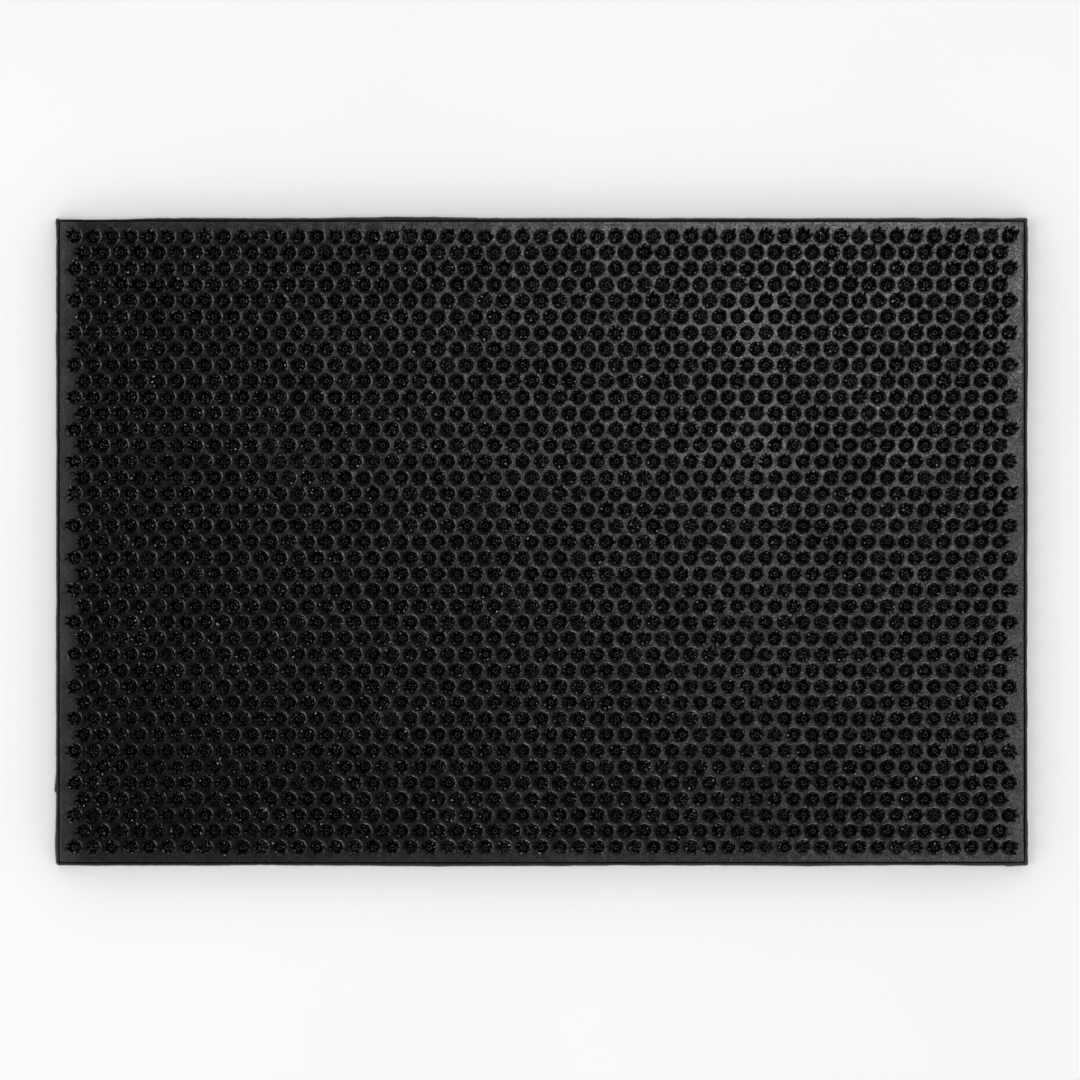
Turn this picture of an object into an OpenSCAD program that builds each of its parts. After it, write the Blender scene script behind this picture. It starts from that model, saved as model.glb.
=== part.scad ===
// Rubber fingertip door mat: one moulding, split here into its base sheet,
// the flash lip round its edge and its staggered rows of bristle tufts.
// Origin: centre of the underside. +X along the long side, +Z up.

/* [Mat] */
// Length of the mat, outside to outside
mat_l = 600; // [600:1:640]
// Width of the mat, outside to outside
mat_w = 400; // [400:1:440]
// Height from the floor to the bristle tips
mat_h = 12; // [11:0.5:16]
// Thickness of the base sheet
sheet_t = 3; // [2.5:0.1:4]

/* [Edge] */
// Width of the flash lip left round the outside
lip_w = 1.7; // [1.4:0.1:2.5]
// Height of the flash lip above the floor
lip_h = 3.2; // [2.5:0.1:4]
// Width of the tear groove inside the lip
groove_w = 0.6; // [0.4:0.1:1.5]
// Thickness of rubber left under the tear groove
groove_floor_t = 0.8; // [0.6:0.1:1.2]

/* [Tufts] */
// Tufts in each full row
columns = 51; // [41:1:51]
// Rows of tufts, alternately full and one tuft short
rows = 39; // [31:2:39]
// Distance from the mat's edge to the outer tufts' centres
field_margin = 11.5; // [11:0.1:12.5]
// Diameter of the round foot under each tuft
foot_d = 9.8; // [9.4:0.1:9.8]
// Height of the foot above the sheet
foot_h = 0.4; // [0.3:0.1:2.5]
// Diameter of the ring of bristles, outside to outside
crown_d = 8.8; // [8:0.1:9.4]
// Bristles in each tuft
bristles = 7; // [5:1:9]
// Mean diameter of a bristle
bristle_d = 2.3; // [1.8:0.1:2.4]
// Diameter of the blunt peg in the middle of each tuft
peg_d = 3.2; // [2.4:0.1:3.2]
// Height of the peg above the foot
peg_h = 3.6; // [1.5:0.1:4]
// Diameter of the dimple in the top of the peg
dimple_d = 1.4; // [0.8:0.1:1.6]
// Depth of the dimple
dimple_depth = 1.6; // [0.8:0.1:2]

/* [Hidden] */
$fn = 32;
// Thickness of the strip that joins the feet of one row, let into the sheet
strip_t = 0.5;
// How far a foot runs down into its strip, so that the two are one solid
foot_sink = strip_t / 2;
pitch_x = (mat_l - 2 * field_margin) / (columns - 1);
pitch_y = (mat_w - 2 * field_margin) / (rows - 1);
strip_l = mat_l - 2 * field_margin + pitch_x;
plate_l = mat_l - 2 * (lip_w + groove_w);
plate_w = mat_w - 2 * (lip_w + groove_w);
strip_floor = sheet_t - strip_t;
crown_h = mat_h - sheet_t;

function two_digits(n) = n < 10 ? str("0", n) : str(n);
function row_name(n) = str("tuft_row_", two_digits(n));
// Row 1 is at the back (+Y) and the last row is at the front
function row_y(n) = ((rows + 1) / 2 - n) * pitch_y;
// Odd rows are full, and even rows sit half a pitch in from both ends
function tufts_in_row(n) = columns - (n + 1) % 2;

// A block centred on the Z axis, standing on height z
module block(l, w, h, z) {
    translate([-l / 2, -w / 2, z]) cube([l, w, h]);
}

// Flat sheet with a thin skirt that carries the lip, and a bed for the rows of tufts
module base_sheet() {
    color("dimgray") difference() {
        union() {
            block(mat_l, mat_w, groove_floor_t, 0);
            block(plate_l, plate_w, sheet_t, 0);
        }
        block(strip_l, rows * pitch_y, sheet_t, strip_floor);
    }
}

// Lip along one side: a flat strip with a round top, running along +X
module lip(l) {
    shoulder_h = lip_h - groove_floor_t - lip_w / 2;
    translate([-l / 2, 0, groove_floor_t]) rotate([90, 0, 90]) linear_extrude(l) union() {
        translate([-lip_w / 2, 0]) square([lip_w, shoulder_h]);
        intersection() {
            translate([0, shoulder_h]) circle(d = lip_w);
            translate([-lip_w / 2, shoulder_h]) square([lip_w, lip_w / 2]);
        }
    }
}

module lip_front() {
    color("dimgray") translate([0, (lip_w - mat_w) / 2, 0]) lip(mat_l);
}

module lip_back() {
    color("dimgray") translate([0, (mat_w - lip_w) / 2, 0]) lip(mat_l);
}

module lip_left() {
    color("dimgray") translate([(lip_w - mat_l) / 2, 0, 0]) rotate([0, 0, 90]) lip(mat_w - 2 * lip_w);
}

module lip_right() {
    color("dimgray") translate([(mat_l - lip_w) / 2, 0, 0]) rotate([0, 0, 90]) lip(mat_w - 2 * lip_w);
}

// One tuft: a round foot, a ring in place of its bristles, and a dimpled peg in the middle.
// The ring is as wide as the bristles stand, and holds as much rubber as they do.
module tuft() {
    foot_r = foot_d / 2;
    crown_r = crown_d / 2;
    well_r = sqrt(pow(crown_r, 2) - bristles * pow(bristle_d / 2, 2));
    peg_r = peg_d / 2;
    dimple_r = dimple_d / 2;
    rotate_extrude() polygon([
        [0, -foot_sink],
        [foot_r, -foot_sink],
        [foot_r, foot_h],
        [crown_r, foot_h],
        [crown_r, crown_h],
        [well_r, crown_h],
        [well_r, foot_h],
        [peg_r, foot_h],
        [peg_r, foot_h + peg_h],
        [dimple_r, foot_h + peg_h],
        [dimple_r, foot_h + peg_h - dimple_depth],
        [0, foot_h + peg_h - dimple_depth]
    ]);
}

// One row of tufts on the strip that joins their feet
module tuft_row(n) {
    count = tufts_in_row(n);
    color("black") translate([0, row_y(n), 0]) {
        block(strip_l, pitch_y, strip_t, strip_floor);
        for (i = [1:count]) translate([(i - (count + 1) / 2) * pitch_x, 0, sheet_t]) tuft();
    }
}

base_sheet();
lip_front();
lip_back();
lip_left();
lip_right();
for (n = [1:rows]) {
    tuft_row(n);
}
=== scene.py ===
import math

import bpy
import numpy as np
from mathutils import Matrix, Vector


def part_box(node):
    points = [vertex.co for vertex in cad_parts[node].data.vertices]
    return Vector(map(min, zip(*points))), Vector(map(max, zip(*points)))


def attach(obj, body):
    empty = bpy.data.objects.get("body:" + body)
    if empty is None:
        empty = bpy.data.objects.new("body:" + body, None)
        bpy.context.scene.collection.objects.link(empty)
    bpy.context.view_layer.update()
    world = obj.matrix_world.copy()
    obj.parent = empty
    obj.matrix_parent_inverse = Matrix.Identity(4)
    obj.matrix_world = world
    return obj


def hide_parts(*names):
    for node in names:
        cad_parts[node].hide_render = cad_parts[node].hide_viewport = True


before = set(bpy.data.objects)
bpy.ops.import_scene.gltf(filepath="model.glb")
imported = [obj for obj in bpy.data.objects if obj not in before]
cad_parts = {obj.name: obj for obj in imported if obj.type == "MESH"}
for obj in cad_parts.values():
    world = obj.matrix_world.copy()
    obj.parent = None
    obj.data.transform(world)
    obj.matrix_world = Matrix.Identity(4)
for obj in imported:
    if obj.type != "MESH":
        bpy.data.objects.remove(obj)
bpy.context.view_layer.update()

# A rubber fingertip door mat: one moulded sheet with a trimmed flash lip round
# its edge and staggered rows of bristle tufts. Lengths here are millimetres in
# the CAD frame, and mesh_piece() turns them into metres. Only the materials and
# the studio are in metres from the start.

MM = 0.001
ROW_NAMES = sorted(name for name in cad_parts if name.startswith("tuft_row_"))
FULL_ROW_TUFTS = 51
SEED = 7


def box_mm(node):
    """A CAD node's lowest and highest corners, in millimetres."""
    low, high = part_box(node)
    return np.array(low) / MM, np.array(high) / MM


SHEET_LOW, SHEET_HIGH = box_mm("base_sheet")
LIP_LOW, LIP_HIGH = box_mm("lip_left")
ROW_LOW, ROW_HIGH = box_mm(ROW_NAMES[0])
MAT_L, MAT_W = SHEET_HIGH[0] - SHEET_LOW[0], SHEET_HIGH[1] - SHEET_LOW[1]
SHEET_T = SHEET_HIGH[2]
TIP_Z = ROW_HIGH[2]
PITCH_X = (ROW_HIGH[0] - ROW_LOW[0]) / FULL_ROW_TUFTS
PITCH_Y = ROW_HIGH[1] - ROW_LOW[1]


# ---------------------------------------------------------------- mesh helpers

def mesh_piece(name, verts, quads, tris, finish, kinds=None):
    """A smooth-shaded mesh object that rides on the mat's one body.
    finish lists its materials, and kinds says which one each face has."""
    mesh = bpy.data.meshes.new(name)
    mesh.vertices.add(len(verts))
    mesh.vertices.foreach_set("co", (np.asarray(verts, np.float32) * MM).ravel())
    corners = np.concatenate([np.ravel(quads), np.ravel(tris)]).astype(np.int32)
    sizes = np.concatenate([np.full(len(quads), 4), np.full(len(tris), 3)])
    starts = np.concatenate([[0], np.cumsum(sizes)[:-1]]).astype(np.int32)
    mesh.loops.add(len(corners))
    mesh.loops.foreach_set("vertex_index", corners)
    mesh.polygons.add(len(sizes))
    mesh.polygons.foreach_set("loop_start", starts)
    mesh.polygons.foreach_set("use_smooth", np.ones(len(sizes), bool))
    for material in finish:
        mesh.materials.append(material)
    if kinds is not None:
        mesh.polygons.foreach_set("material_index", kinds.astype(np.int32))
    mesh.update(calc_edges=True)
    mesh.validate()
    piece = bpy.data.objects.new(name, mesh)
    bpy.context.collection.objects.link(piece)
    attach(piece, "root")
    return piece


def spindle_faces(rings, sides):
    """Faces of a closed form: rings of points from its foot to its tip, then two poles."""
    i, s = np.meshgrid(np.arange(rings - 1), np.arange(sides), indexing="ij")
    t = (s + 1) % sides
    quads = np.stack([i * sides + s, i * sides + t, (i + 1) * sides + t, (i + 1) * sides + s], -1)
    s = np.arange(sides)
    t = (s + 1) % sides
    foot, tip = rings * sides, rings * sides + 1
    last = (rings - 1) * sides
    bottom = np.stack([t, s, np.full(sides, foot)], -1)
    top = np.stack([last + s, last + t, np.full(sides, tip)], -1)
    return quads.reshape(-1, 4), np.concatenate([bottom, top])


def repeated(faces, count, stride):
    """The same faces for count copies whose points follow each other."""
    return (faces[None] + (np.arange(count) * stride)[:, None, None]).reshape(-1, faces.shape[1])


def smooth_noise(rng, count, reach):
    """Random values along a line, smoothed over reach steps, about 1 in size."""
    raw = rng.normal(size=count + 4 * reach)
    kernel = np.hanning(2 * reach + 1)
    kernel /= np.sqrt((kernel ** 2).sum())
    return np.convolve(raw, kernel, "same")[2 * reach:2 * reach + count]


# ---------------------------------------------------------------- materials

def new_material(name, roughness, specular):
    material = bpy.data.materials.new(name)
    material.use_nodes = True
    shader = material.node_tree.nodes["Principled BSDF"]
    shader.inputs["Roughness"].default_value = roughness
    shader.inputs["Specular IOR Level"].default_value = specular
    return material, material.node_tree, shader


def noise(tree, scale, detail=3.0, roughness=0.55):
    """Noise on the object's own coordinates, with scale in cells per metre."""
    place = tree.nodes.new("ShaderNodeTexCoord")
    node = tree.nodes.new("ShaderNodeTexNoise")
    node.inputs["Scale"].default_value = scale
    node.inputs["Detail"].default_value = detail
    node.inputs["Roughness"].default_value = roughness
    tree.links.new(place.outputs["Object"], node.inputs["Vector"])
    return node.outputs["Fac"]


def ramp(tree, value, low, high, dark, light):
    """Maps value from low..high to the colours dark..light."""
    node = tree.nodes.new("ShaderNodeValToRGB")
    node.color_ramp.elements[0].position = low
    node.color_ramp.elements[1].position = high
    node.color_ramp.elements[0].color = (*dark, 1)
    node.color_ramp.elements[1].color = (*light, 1)
    tree.links.new(value, node.inputs["Fac"])
    return node.outputs["Color"]


def mixed(tree, mode, a, b):
    """Colours a and b, wholly multiplied or added."""
    node = tree.nodes.new("ShaderNodeMix")
    node.data_type = "RGBA"
    node.blend_type = mode
    node.inputs["Factor"].default_value = 1.0
    tree.links.new(a, node.inputs["A"])
    tree.links.new(b, node.inputs["B"])
    return node.outputs["Result"]


def mapped(tree, value, low, high, to_low, to_high):
    """Maps value from low..high to to_low..to_high."""
    node = tree.nodes.new("ShaderNodeMapRange")
    node.inputs["From Min"].default_value = low
    node.inputs["From Max"].default_value = high
    node.inputs["To Min"].default_value = to_low
    node.inputs["To Max"].default_value = to_high
    tree.links.new(value, node.inputs["Value"])
    return node.outputs["Result"]


def bumped(tree, height, distance, strength, over=None):
    """The normal of a bump, laid over an earlier bump if there is one."""
    node = tree.nodes.new("ShaderNodeBump")
    node.inputs["Distance"].default_value = distance
    node.inputs["Strength"].default_value = strength
    tree.links.new(height, node.inputs["Height"])
    if over is not None:
        tree.links.new(over, node.inputs["Normal"])
    return node.outputs["Normal"]


# The left border is painted paler than the rest by this factor, as painted light from the left that
# the tufts keep off the land. It fades to 1 between these two distances from the edge
LEFT_BORDER_LIGHT = 2.3
LEFT_LIGHT_FADE = (0.008, 0.016)


def painted_left_light(tree):
    """How much paler the sheet is, at each place, for the painted light on its left border."""
    place = tree.nodes.new("ShaderNodeTexCoord")
    split = tree.nodes.new("ShaderNodeSeparateXYZ")
    tree.links.new(place.outputs["Object"], split.inputs["Vector"])
    edge = -MAT_L / 2 * MM
    near, far = LEFT_LIGHT_FADE
    return mapped(tree, split.outputs["X"], edge + near, edge + far, LEFT_BORDER_LIGHT, 1.0)


def sheet_rubber():
    """Charcoal rubber: cloudy bloom, uneven and speckled gloss, slight waves and a fine grain."""
    material, tree, shader = new_material("sheet_rubber", 0.4, 0.5)
    dark, light = (0.014, 0.0134, 0.0148), (0.0238, 0.0228, 0.0252)
    cloud = ramp(tree, noise(tree, 38, 5), 0.3, 0.72, dark, light)
    speck = ramp(tree, noise(tree, 620, 3), 0.35, 0.7, (0.7, 0.7, 0.71), (1.3, 1.3, 1.32))
    speckled = mixed(tree, "MULTIPLY", cloud, speck)
    # painted light: the left border's colour is made paler, as if more light reached it than the land
    # between the tufts
    colour = mixed(tree, "MULTIPLY", speckled, painted_left_light(tree))
    roughness = mapped(tree, noise(tree, 210, 5, 0.8), 0.3, 0.7, 0.22, 0.35)
    gloss = mapped(tree, noise(tree, 900, 2), 0.35, 0.65, 0.18, 0.82)
    uneven = bumped(tree, noise(tree, 85, 1), 0.0005, 1.0)
    grain = bumped(tree, noise(tree, 1100, 2), 0.00012, 0.7, uneven)
    tree.links.new(colour, shader.inputs["Base Color"])
    tree.links.new(roughness, shader.inputs["Roughness"])
    tree.links.new(gloss, shader.inputs["Specular IOR Level"])
    tree.links.new(grain, shader.inputs["Normal"])
    return material


def lip_rubber():
    """The same rubber where the mould closed: a little darker and smoother."""
    material, tree, shader = new_material("lip_rubber", 0.45, 0.5)
    dark, light = (0.009, 0.009, 0.0093), (0.016, 0.016, 0.0165)
    cloud = ramp(tree, noise(tree, 60, 4), 0.3, 0.7, dark, light)
    roughness = mapped(tree, noise(tree, 240, 3), 0.3, 0.7, 0.36, 0.46)
    grain = bumped(tree, noise(tree, 900, 3), 0.0001, 0.5)
    tree.links.new(cloud, shader.inputs["Base Color"])
    tree.links.new(roughness, shader.inputs["Roughness"])
    tree.links.new(grain, shader.inputs["Normal"])
    return material


def bristle_rubber():
    """Near-black rubber with soft gloss, mould marks and a few pale specks, partly dust and partly
    painted glints on the tips.
    """
    material, tree, shader = new_material("bristle_rubber", 0.45, 0.05)
    dark, light = (0.0008, 0.0008, 0.0008), (0.0018, 0.0018, 0.0019)
    body = ramp(tree, noise(tree, 300, 3), 0.3, 0.7, dark, light)
    # pale specks painted on the bristles: partly dust, partly painted highlights of the tips
    glints_and_dust = ramp(tree, noise(tree, 800, 1), 0.65, 0.72, (0, 0, 0), (0.27, 0.27, 0.28))
    roughness = mapped(tree, noise(tree, 520, 3), 0.3, 0.7, 0.38, 0.52)
    grain = bumped(tree, noise(tree, 1100, 2), 0.00008, 0.4)
    tree.links.new(mixed(tree, "ADD", body, glints_and_dust), shader.inputs["Base Color"])
    tree.links.new(roughness, shader.inputs["Roughness"])
    tree.links.new(grain, shader.inputs["Normal"])
    return material


def floor_paint():
    material, tree, shader = new_material("pale_floor", 0.8, 0.2)
    tone = ramp(tree, noise(tree, 3, 2), 0.3, 0.7, (0.95, 0.95, 0.95), (0.98, 0.98, 0.98))
    tree.links.new(tone, shader.inputs["Base Color"])
    return material


# ---------------------------------------------------------------- base sheet

LIP_W = LIP_HIGH[0] - LIP_LOW[0]
LIP_TOP = LIP_HIGH[2]
SKIRT_T = LIP_LOW[2]
# The sheet's section, from its edge in: a thin skirt under the lip, the floor of the tear
# groove, a wall with a rounded top edge, and the land
SKIRT_INSET = 1.1
GROOVE_W = 0.6
GROOVE_ROUND = 0.12
WALL_DRAFT = 0.03
EDGE_ROUND = 0.4
EDGE_ROUND_DEG = (25, 50, 75, 90)
LAND_INSET = 2.0
LAND_STEP = 2.5
# Height of the land's gentle waves, and their reach in grid lines
LAND_WAVE = 0.05
WAVE_REACH = 9
CORNER_R = {"front_left": 2.2, "front_right": 0.8, "back_right": 0.8, "back_left": 1.0}


def edge_stations():
    """Distances in from the mat's edge where the sheet's section turns, and the height at each:
    the skirt starts under the lip, which hides its edge."""
    wall = LIP_W + GROOVE_W
    stations = [(SKIRT_INSET, SKIRT_T), (wall - GROOVE_ROUND, SKIRT_T), (wall, SKIRT_T + GROOVE_ROUND)]
    stations.append((wall + WALL_DRAFT, SHEET_T - EDGE_ROUND))
    for angle in np.radians(EDGE_ROUND_DEG):
        inward = wall + WALL_DRAFT + EDGE_ROUND * (1 - math.cos(angle))
        stations.append((inward, SHEET_T - EDGE_ROUND * (1 - math.sin(angle))))
    stations.append((wall + LAND_INSET, SHEET_T))
    return np.array(stations)


def sheet_lines(length, stations):
    """Grid lines across a side of the mat: close together at its edges, even between them."""
    inner = length - 2 * stations[-1, 0]
    steps = int(round(inner / LAND_STEP))
    middle = np.linspace(-inner / 2, inner / 2, steps + 1)[1:-1]
    edge = stations[:, 0] - length / 2
    return np.concatenate([edge, middle, -edge[::-1]])


def rounded_corners(x, y):
    """Draws the square corners of a grid over the mat in to their radius."""
    for name, r in CORNER_R.items():
        side_x, side_y = (1 if "right" in name else -1), (1 if "back" in name else -1)
        u = (side_x * x - (MAT_L / 2 - r)) / r
        v = (side_y * y - (MAT_W / 2 - r)) / r
        inside = (u > 0) & (v > 0)
        u, v = np.clip(u, 0, 1), np.clip(v, 0, 1)
        x = np.where(inside, side_x * (MAT_L / 2 - r + r * u * np.sqrt(1 - v * v / 2)), x)
        y = np.where(inside, side_y * (MAT_W / 2 - r + r * v * np.sqrt(1 - u * u / 2)), y)
    return x, y


def base_sheet(material):
    """The sheet as a height field with a rounded edge, a tear groove and a gently wavy top."""
    rng = np.random.default_rng(SEED)
    stations = edge_stations()
    xs, ys = sheet_lines(MAT_L, stations), sheet_lines(MAT_W, stations)
    x, y = np.meshgrid(xs, ys, indexing="ij")
    inset = np.minimum(MAT_L / 2 - np.abs(x), MAT_W / 2 - np.abs(y))
    z = np.interp(inset, stations[:, 0], stations[:, 1])
    along = smooth_noise(rng, len(xs), WAVE_REACH)
    across = smooth_noise(rng, len(ys), WAVE_REACH)
    on_land = inset > stations[-1, 0] - 0.01
    z = z + np.where(on_land, (along[:, None] + across[None, :]) * LAND_WAVE, 0)
    x, y = rounded_corners(x, y)
    top = np.stack([x, y, z], -1).reshape(-1, 3)
    under = np.stack([x, y, np.zeros_like(z)], -1).reshape(-1, 3)
    nx, ny = len(xs), len(ys)
    i, j = np.meshgrid(np.arange(nx - 1), np.arange(ny - 1), indexing="ij")
    a = i * ny + j
    quads = np.stack([a, a + ny, a + ny + 1, a + 1], -1).reshape(-1, 4)
    rim = np.concatenate([
        np.arange(nx) * ny,
        (nx - 1) * ny + np.arange(1, ny),
        np.arange(nx - 2, -1, -1) * ny + ny - 1,
        np.arange(ny - 2, 0, -1),
    ])
    after = np.roll(rim, -1)
    side = np.stack([rim, rim + len(top), after + len(top), after], -1)
    quads = np.concatenate([quads, quads[:, ::-1] + len(top), side])
    no_tris = np.empty((0, 3), int)
    verts = np.concatenate([top, under])
    piece = mesh_piece("sheet", verts, quads, no_tris, [material])
    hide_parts("base_sheet")


# ---------------------------------------------------------------- flash lip

LIP_STEP = 1.0
CORNER_STEPS = 4
# The lip's section, as shares of its width in from its outer edge and of its height above the
# skirt: its foot reaches the floor past the skirt's edge
LIP_FOOT = -SKIRT_T / (LIP_TOP - SKIRT_T)
LIP_SECTION = np.array([
    [0.0, LIP_FOOT], [-0.02, 0.35], [0.03, 0.66], [0.14, 0.86], [0.34, 0.97],
    [0.6, 1.0], [0.84, 0.97], [0.95, 0.88], [1.0, 0.66], [1.0, LIP_FOOT],
])
# Size and reach, in steps, of the waviness of the lip's outer edge, crest and inner edge
LONG_TRIM = (0.10, 14)
SHORT_TRIM = (0.05, 3)
CREST_WAVE = (0.05, 20)
INNER_WAVE = (0.05, 25)
# Steps from a corner over which the waviness, and the knife's marks, fade away
FADE_STEPS = 8
MARK_FADE_STEPS = 4


def lip_side(side):
    """Points and outward normals along one side's outer edge, from mid-corner to mid-corner."""
    start, end, turn = {
        "front": ("front_left", "front_right", 0),
        "right": ("front_right", "back_right", 90),
        "back": ("back_right", "back_left", 180),
        "left": ("back_left", "front_left", 270),
    }[side]
    along = MAT_L if side in ("front", "back") else MAT_W
    across = MAT_W if side in ("front", "back") else MAT_L
    points, normals = [], []
    for name, sign in ((start, -1), (end, 1)):
        r = CORNER_R[name]
        angles = np.radians(np.linspace(0, 45, CORNER_STEPS + 1))
        x = sign * (along / 2 - r + r * np.sin(angles))
        y = -across / 2 + r - r * np.cos(angles)
        normal = np.stack([sign * np.sin(angles), -np.cos(angles)], -1)
        order = slice(None, None, sign)
        points.append(np.stack([x, y], -1)[order])
        normals.append(normal[order])
    first, last = points[0][-1, 0], points[1][0, 0]
    count = int(round((last - first) / LIP_STEP))
    straight = np.linspace(first, last, count + 1)[1:-1]
    line = np.stack([straight, np.full_like(straight, -across / 2)], -1)
    down = np.tile([0.0, -1.0], (len(straight), 1))
    points = np.concatenate([points[0], line, points[1]])
    normals = np.concatenate([normals[0], down, normals[1]])
    c, s = math.cos(math.radians(turn)), math.sin(math.radians(turn))
    spin = np.array([[c, -s], [s, c]])
    return points @ spin.T, normals @ spin.T


# Where the knife strayed: side, then the place along it, the length and how far it stands out
# at the start, the middle and the end of that length
TRIM_MARKS = [
    ("left", -198.0, 27.0, (0.2, 0.8, 0.1)),
    ("left", -154.0, 11.0, (1.2, 0.6, 0.1)),
    ("left", 195.0, 3.5, (0.0, 0.35, 0.2)),
    ("back", -298.0, 60.0, (-0.8, -0.9, 0.0)),
    ("back", -136.0, 96.0, (0.1, 0.8, 0.2)),
    ("right", 84.0, 110.0, (0.1, 0.5, 0.3)),
    ("right", -199.0, 26.0, (0.5, 0.4, 0.1)),
    ("front", -130.0, 170.0, (0.0, 0.5, 0.1)),
    ("front", 148.0, 30.0, (0.2, 0.6, 0.1)),
    ("front", 287.0, 9.0, (0.55, 0.5, 0.2)),
]
MARK_EDGE = 1.2


def trim_marks(side, points):
    """How far the edge stands out because of the knife, at each point along a side."""
    place = points[:, 0] if side in ("front", "back") else points[:, 1]
    out = np.zeros(len(points))
    for where, start, length, sizes in TRIM_MARKS:
        if where == side:
            along = (place - start) / length
            knots = [-MARK_EDGE / length, 0, 0.5, 1, 1 + MARK_EDGE / length]
            out = out + np.interp(along, knots, [0, *sizes, 0])
    return out


def lip(side, material):
    """A hand-trimmed strip of flash: straight inside, rounded on top, a little ragged outside."""
    rng = np.random.default_rng([SEED, len(side)])
    points, normals = lip_side(side)
    count = len(points)
    long_trim, short_trim, crest, inner = [
        size * smooth_noise(rng, count, reach)
        for size, reach in (LONG_TRIM, SHORT_TRIM, CREST_WAVE, INNER_WAVE)
    ]
    steps = np.minimum(np.arange(count), np.arange(count)[::-1])
    fade = np.clip(steps / FADE_STEPS, 0, 1)
    mark_fade = np.clip(steps / MARK_FADE_STEPS, 0, 1)
    trim = (long_trim + short_trim) * fade + trim_marks(side, points) * mark_fade
    width = LIP_W - inner * fade
    height = LIP_TOP - SKIRT_T + crest * fade
    sides = len(LIP_SECTION)
    share, rise = LIP_SECTION.T
    inward = share[None] * width[:, None] - trim[:, None] * (1 - share[None])
    z = np.maximum(SKIRT_T + rise[None] * height[:, None], 0)
    xy = points[:, None, :] - normals[:, None, :] * inward[..., None]
    verts = np.concatenate([xy, z[..., None]], -1).reshape(-1, 3)
    foot = verts[:sides].mean(0)
    tip = verts[-sides:].mean(0)
    verts = np.concatenate([verts, [foot, tip]])
    quads, tris = spindle_faces(count, sides)
    name = "lip_trim_" + side
    piece = mesh_piece(name, verts, quads[:, ::-1], tris[:, ::-1], [material])
    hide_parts("lip_" + side)


# ---------------------------------------------------------------- tufts

BRISTLES = 7
BRISTLE_SIDES = 8
FIRST_BRISTLE_DEG = -10.0
BRISTLE_RING_R = 3.25
ROOT_R = 1.3
TIP_R = 0.96
FOOT_SIDES = 18
# Radius, height above the sheet and finish of each ring of a foot, from its edge in to the dimple: a
# shallow flare, a collar that the bristles grow from with the floor inside their ring, the peg's pale
# rim, and the dimple. Collar, floor and dimple take the near-black bristle finish as painted shade,
# where shade falls between the bristles and in the hole.
SHEET_FINISH, BRISTLE_FINISH = 0, 1
FOOT_RINGS = [
    (5.5, -0.01, SHEET_FINISH), (5.3, 0.0, SHEET_FINISH), (5.1, 0.014, SHEET_FINISH),
    (4.9, 0.037, SHEET_FINISH), (4.7, 0.071, SHEET_FINISH), (4.52, 0.11, SHEET_FINISH),
    (4.36, 0.15, SHEET_FINISH), (4.22, 0.17, SHEET_FINISH), (4.06, 0.19, BRISTLE_FINISH),
    (3.98, 0.5, BRISTLE_FINISH), (3.8, 0.75, BRISTLE_FINISH),
    (3.2, 0.85, BRISTLE_FINISH), (1.95, 0.8, BRISTLE_FINISH), (1.7, 1.1, BRISTLE_FINISH),
    (1.62, 3.6, SHEET_FINISH), (1.5, 3.9, SHEET_FINISH), (1.32, 3.98, SHEET_FINISH),
    (1.02, 4.0, SHEET_FINISH), (0.84, 3.8, BRISTLE_FINISH), (0.6, 2.6, BRISTLE_FINISH),
]
FOOT_PROFILE = np.array([ring[:2] for ring in FOOT_RINGS])
FOOT_KINDS = np.array([ring[2] for ring in FOOT_RINGS])
DIMPLE_POINT = 1.8
# Share of tufts whose floor keeps the sheet's grey instead of the painted shade, so that it shows
# between the bristles, and the radii that the floor lies between
UNSHADED_FLOOR_SHARE = 0.2
FLOOR_RADII = (1.8, 3.9)

# How far the tips lean, in millimetres: all of a tuft's together, each one on its own, and a
# few strays. They also fan out from the tuft's middle, by this much with this spread.
SHARED_LEAN = 0.36
OWN_LEAN = 0.52
STRAY_SHARE = 0.1
STRAY_LEAN = 0.9
FAN_OUT = (0.3, 0.28)
# The lean that use has left: outward at the sides, a little to the left everywhere, backward,
# more so at the back, and further outward and backward at the back right corner
SIDE_LEAN = 0.45
LEFT_LEAN = 0.1
BACKWARD_LEAN = 0.35
BACK_EXTRA = 0.2
CORNER_LEAN = (0.5, 0.7)
# The outermost tufts also splay over the border, by this much. Those nearer than EDGE_ROW_GAP
# to the back edge do so too: at its middle by BACK_SPLAY of it, and more to the right
SPLAY = (0.2, 1.1)
BACK_SPLAY = 0.55
EDGE_ROW_GAP = 14.0
# Tufts this near to both edges at the right-hand corners are trodden out of shape
CORNER_REACH = 26.0
TRODDEN_LEAN = 0.7
TRODDEN_OUTWARD = 0.5

# A bristle's root lies inside the collar, its shaft thins towards a domed tip, and it bends
# more the higher it is. Tips differ in radius by a factor within TIP_SIZES, and are worn down
# by about WORN_TIPS.
COLLAR_TOP = 0.85
ROOT_SINK = 0.5
SHAFT_SHARES = np.array([0.0, 0.22, 0.5, 0.78])
SHAFT_TAPER = 0.7
DOME_DEG = (0, 32, 62)
BEND_POWER = 1.8
TIP_SIZES = (0.82, 1.12)
WORN_TIPS = 0.18


def row_centres(name):
    """Centres of the tufts in one row: every second row is one tuft short."""
    low, high = box_mm(name)
    number = ROW_NAMES.index(name)
    count = FULL_ROW_TUFTS - number % 2
    x = (np.arange(count) - (count - 1) / 2) * PITCH_X
    return np.stack([x, np.full(count, (low[1] + high[1]) / 2)], -1)


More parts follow.
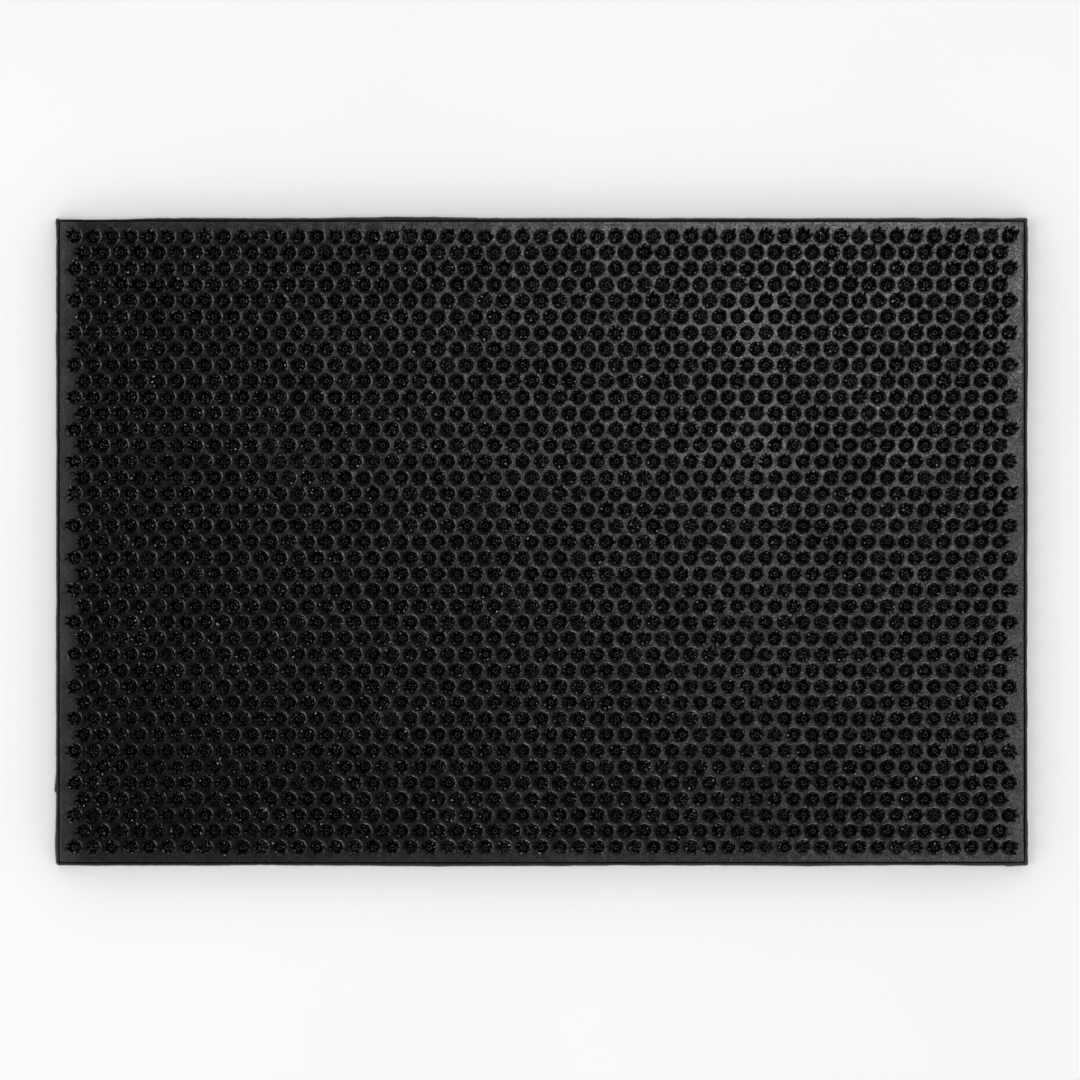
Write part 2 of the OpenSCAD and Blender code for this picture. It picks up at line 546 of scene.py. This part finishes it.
def foot_points(centres):
    angle = np.arange(FOOT_SIDES) / FOOT_SIDES * 2 * math.pi
    ring = np.stack([np.cos(angle), np.sin(angle)], -1)
    xy = FOOT_PROFILE[:, None, :1] * ring[None]
    z = np.broadcast_to(SHEET_T + FOOT_PROFILE[:, None, 1:], (*xy.shape[:2], 1))
    body = np.concatenate([xy, z], -1).reshape(-1, 3)
    poles = np.array([[0, 0, SHEET_T + FOOT_PROFILE[0, 1]], [0, 0, SHEET_T + DIMPLE_POINT]])
    one = np.concatenate([body, poles])
    offsets = np.concatenate([centres, np.zeros((len(centres), 1))], -1)
    return (one[None] + offsets[:, None]).reshape(-1, 3)


def foot_kinds(rng, count):
    """The finish of each quad of count feet: painted shade in near-black on collars, inner floors and
    dimples, except the floors of the unshaded tufts, which keep the sheet's grey.
    """
    strips = np.tile(FOOT_KINDS[:-1], (count, 1))
    inner, outer = FLOOR_RADII
    floor_strips = (FOOT_PROFILE[:-1, 0] < outer) & (FOOT_PROFILE[:-1, 0] > inner)
    # the floor of every other tuft keeps its painted shade
    unshaded_floor = rng.random(count) < UNSHADED_FLOOR_SHARE
    strips[np.ix_(unshaded_floor, floor_strips)] = SHEET_FINISH
    return np.repeat(strips.ravel(), FOOT_SIDES)


def lasting_lean(centres):
    """The lean that use has left in each tuft, to the right and backward."""
    across, along = (centres / np.array([MAT_L, MAT_W]) * 2).T
    back_right = np.maximum(across, 0) * np.maximum(along, 0)
    rightward = SIDE_LEAN * across ** 3 - LEFT_LEAN + CORNER_LEAN[0] * back_right
    backward = BACKWARD_LEAN + BACK_EXTRA * along + CORNER_LEAN[1] * back_right
    return np.stack([rightward, backward], -1)


def bristle_leans(rng, centres):
    """How far each bristle's tip leans, and in which direction: at random, and by where it is."""
    count = len(centres)
    shared = rng.normal(scale=SHARED_LEAN, size=(count, 1, 2))
    own = rng.normal(scale=OWN_LEAN, size=(count, BRISTLES, 2))
    stray = rng.random((count, BRISTLES, 1)) < STRAY_SHARE
    own = own + stray * rng.normal(scale=STRAY_LEAN, size=(count, BRISTLES, 2))
    gap = np.array([MAT_L, MAT_W]) / 2 - np.abs(centres)
    at_side = gap[:, 0] < gap[:, 0].min() + 1
    at_back = (gap[:, 1] < EDGE_ROW_GAP) & (centres[:, 1] > 0)
    splay = np.sign(centres) * rng.uniform(*SPLAY, size=(count, 1))
    splay[:, 0] *= at_side
    splay[:, 1] *= at_back * (BACK_SPLAY + centres[:, 0] / MAT_L)
    trodden = (gap < CORNER_REACH).all(1) & (centres[:, 0] > 0)
    wild = rng.normal(scale=TRODDEN_LEAN, size=(count, BRISTLES, 2))
    wild = wild + np.sign(centres)[:, None] * TRODDEN_OUTWARD
    by_place = (splay + lasting_lean(centres))[:, None]
    return shared + own + by_place + trodden[:, None, None] * wild


def bristle_points(rng, centres):
    """Round-tipped tapered bristles in a ring, each bent smoothly along its height."""
    count = len(centres)
    angle = np.radians(FIRST_BRISTLE_DEG) + np.arange(BRISTLES) / BRISTLES * 2 * math.pi
    out = np.stack([np.cos(angle), np.sin(angle)], -1)
    lean = bristle_leans(rng, centres) + out[None] * rng.normal(*FAN_OUT, size=(count, BRISTLES, 1))
    tip_r = TIP_R * rng.uniform(*TIP_SIZES, size=(count, BRISTLES, 1))
    tip_z = TIP_Z - SHEET_T - np.abs(rng.normal(scale=WORN_TIPS, size=(count, BRISTLES, 1)))
    dome = np.radians(DOME_DEG)
    low = COLLAR_TOP - ROOT_SINK
    shaft_z = low + SHAFT_SHARES * (tip_z - tip_r - low)
    shaft_r = ROOT_R + (tip_r - ROOT_R) * SHAFT_SHARES ** SHAFT_TAPER
    z = np.concatenate([shaft_z, tip_z - tip_r + tip_r * np.sin(dome)], -1)
    r = np.concatenate([shaft_r, tip_r * np.cos(dome)], -1)
    share = (z - low) / (TIP_Z - SHEET_T - low)
    middle = (
        centres[:, None, None] + out[None, :, None] * BRISTLE_RING_R
        + lean[:, :, None] * share[..., None] ** BEND_POWER
    )
    turn = rng.uniform(0, 2 * math.pi, size=(count, BRISTLES, 1, 1))
    ring = turn + np.arange(BRISTLE_SIDES) / BRISTLE_SIDES * 2 * math.pi
    across = np.stack(np.broadcast_arrays(np.cos(ring), np.sin(ring)), -1)
    xy = middle[:, :, :, None] + across * r[..., None, None]
    zz = np.broadcast_to(SHEET_T + z[..., None, None], (*xy.shape[:4], 1))
    body = np.concatenate([xy, zz], -1).reshape(count, BRISTLES, -1, 3)
    foot = np.concatenate([middle[:, :, 0], SHEET_T + z[:, :, :1]], -1)
    tip = np.concatenate([middle[:, :, -1], SHEET_T + tip_z], -1)
    return np.concatenate([body, foot[:, :, None], tip[:, :, None]], 2).reshape(-1, 3), z.shape[-1]


def tuft_row(name, foot_finish, bristle_finish):
    """All the tufts of one row as one piece: grey feet and peg rims, black bristles, and painted shade
    in near-black on the collars, inner floors and dimples.
    """
    rng = np.random.default_rng([SEED, ROW_NAMES.index(name)])
    centres = row_centres(name)
    feet = foot_points(centres)
    bristles, rings = bristle_points(rng, centres)
    foot_quads, foot_tris = spindle_faces(len(FOOT_PROFILE), FOOT_SIDES)
    foot_size = len(FOOT_PROFILE) * FOOT_SIDES + 2
    quads, tris = spindle_faces(rings, BRISTLE_SIDES)
    size = rings * BRISTLE_SIDES + 2
    count = len(centres)
    all_quads = np.concatenate([
        repeated(foot_quads, count, foot_size),
        repeated(quads, count * BRISTLES, size) + len(feet),
    ])
    all_tris = np.concatenate([
        repeated(foot_tris, count, foot_size),
        repeated(tris, count * BRISTLES, size) + len(feet),
    ])
    # After the feet's quads come the bristles' quads, then every triangle
    rest = len(all_quads) - count * len(foot_quads) + len(all_tris)
    kinds = np.concatenate([foot_kinds(rng, count), np.full(rest, BRISTLE_FINISH)])
    piece = mesh_piece(
        name.replace("tuft_row", "bristles"), np.concatenate([feet, bristles]),
        all_quads, all_tris, [foot_finish, bristle_finish], kinds,
    )
    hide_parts(name)


# ---------------------------------------------------------------- studio

CAMERA_HEIGHT = 3.0
VIEW_WIDTH = 0.667
SENSOR = 36.0
CAMERA_OFFSET = (-0.0011, 0.0011)
FLOOR_HALF = 8.0
FLOOR_CELLS = 16
# Place, size and power of each softbox
SOFTBOXES = {
    "key": ((0.31, 0.38, 2.1), 0.42, 6.8),
    "side": ((0.76, -0.42, 2.1), 0.45, 3.8),
    "fill": ((-1.7, -0.6, 1.3), 0.6, 8.0),
}
# Brightness of the studio's walls at each sine of the height angle, as a share of the brightest:
# a pale horizon that the floor runs into, bright walls above it and a dark ceiling
WALL_STRENGTH = 3.9
WALL_TONES = [(0.0, 0.21), (0.1, 0.21), (0.18, 1.0), (0.3, 1.0), (0.55, 0.008)]


def floor():
    line = np.linspace(-FLOOR_HALF, FLOOR_HALF, FLOOR_CELLS + 1)
    x, y = np.meshgrid(line, line, indexing="ij")
    verts = np.stack([x, y, np.zeros_like(x)], -1).reshape(-1, 3)
    i, j = np.meshgrid(np.arange(FLOOR_CELLS), np.arange(FLOOR_CELLS), indexing="ij")
    a = i * (FLOOR_CELLS + 1) + j
    quads = np.stack([a, a + FLOOR_CELLS + 1, a + FLOOR_CELLS + 2, a + 1], -1).reshape(-1, 4)
    mesh = bpy.data.meshes.new("floor")
    mesh.from_pydata(verts.tolist(), [], quads.tolist())
    mesh.materials.append(floor_paint())
    ground = bpy.data.objects.new("floor", mesh)
    bpy.context.collection.objects.link(ground)


def softbox(name, place, size, power):
    """A square area light that faces the middle of the mat."""
    lamp = bpy.data.lights.new(name, "AREA")
    lamp.size = size
    lamp.energy = power
    holder = bpy.data.objects.new(name, lamp)
    holder.location = place
    holder.rotation_mode = "QUATERNION"
    holder.rotation_quaternion = (-holder.location).to_track_quat("-Z", "Y")
    bpy.context.collection.objects.link(holder)


def studio_world():
    world = bpy.data.worlds.new("studio")
    bpy.context.scene.world = world
    world.use_nodes = True
    tree = world.node_tree
    place = tree.nodes.new("ShaderNodeTexCoord")
    split = tree.nodes.new("ShaderNodeSeparateXYZ")
    tree.links.new(place.outputs["Generated"], split.inputs["Vector"])
    node = tree.nodes.new("ShaderNodeValToRGB")
    stops = node.color_ramp.elements
    stops.remove(stops[1])
    for number, (height, tone) in enumerate(WALL_TONES):
        stop = stops.new(height) if number else stops[0]
        stop.color = (tone, tone, tone, 1)
    tree.links.new(split.outputs["Z"], node.inputs["Fac"])
    walls = tree.nodes["Background"]
    walls.inputs["Strength"].default_value = WALL_STRENGTH
    tree.links.new(node.outputs["Color"], walls.inputs["Color"])


def camera():
    """Straight above the mat, with VIEW_WIDTH metres of its sheet across the picture."""
    lens = bpy.data.cameras.new("camera")
    lens.sensor_width = SENSOR
    lens.lens = SENSOR * (CAMERA_HEIGHT - SHEET_T * MM) / VIEW_WIDTH
    holder = bpy.data.objects.new("camera", lens)
    holder.location = (*CAMERA_OFFSET, CAMERA_HEIGHT)
    bpy.context.collection.objects.link(holder)
    bpy.context.scene.camera = holder


camera()
studio_world()
for name, (place, size, power) in SOFTBOXES.items():
    softbox(name, place, size, power)
bpy.context.scene.view_settings.view_transform = "Standard"
floor()

sheet_finish = sheet_rubber()
base_sheet(sheet_finish)
lip_finish = lip_rubber()
for side in ("front", "right", "back", "left"):
    lip(side, lip_finish)
bristle_finish = bristle_rubber()
for row in ROW_NAMES:
    tuft_row(row, sheet_finish, bristle_finish)

bpy.context.view_layer.update()
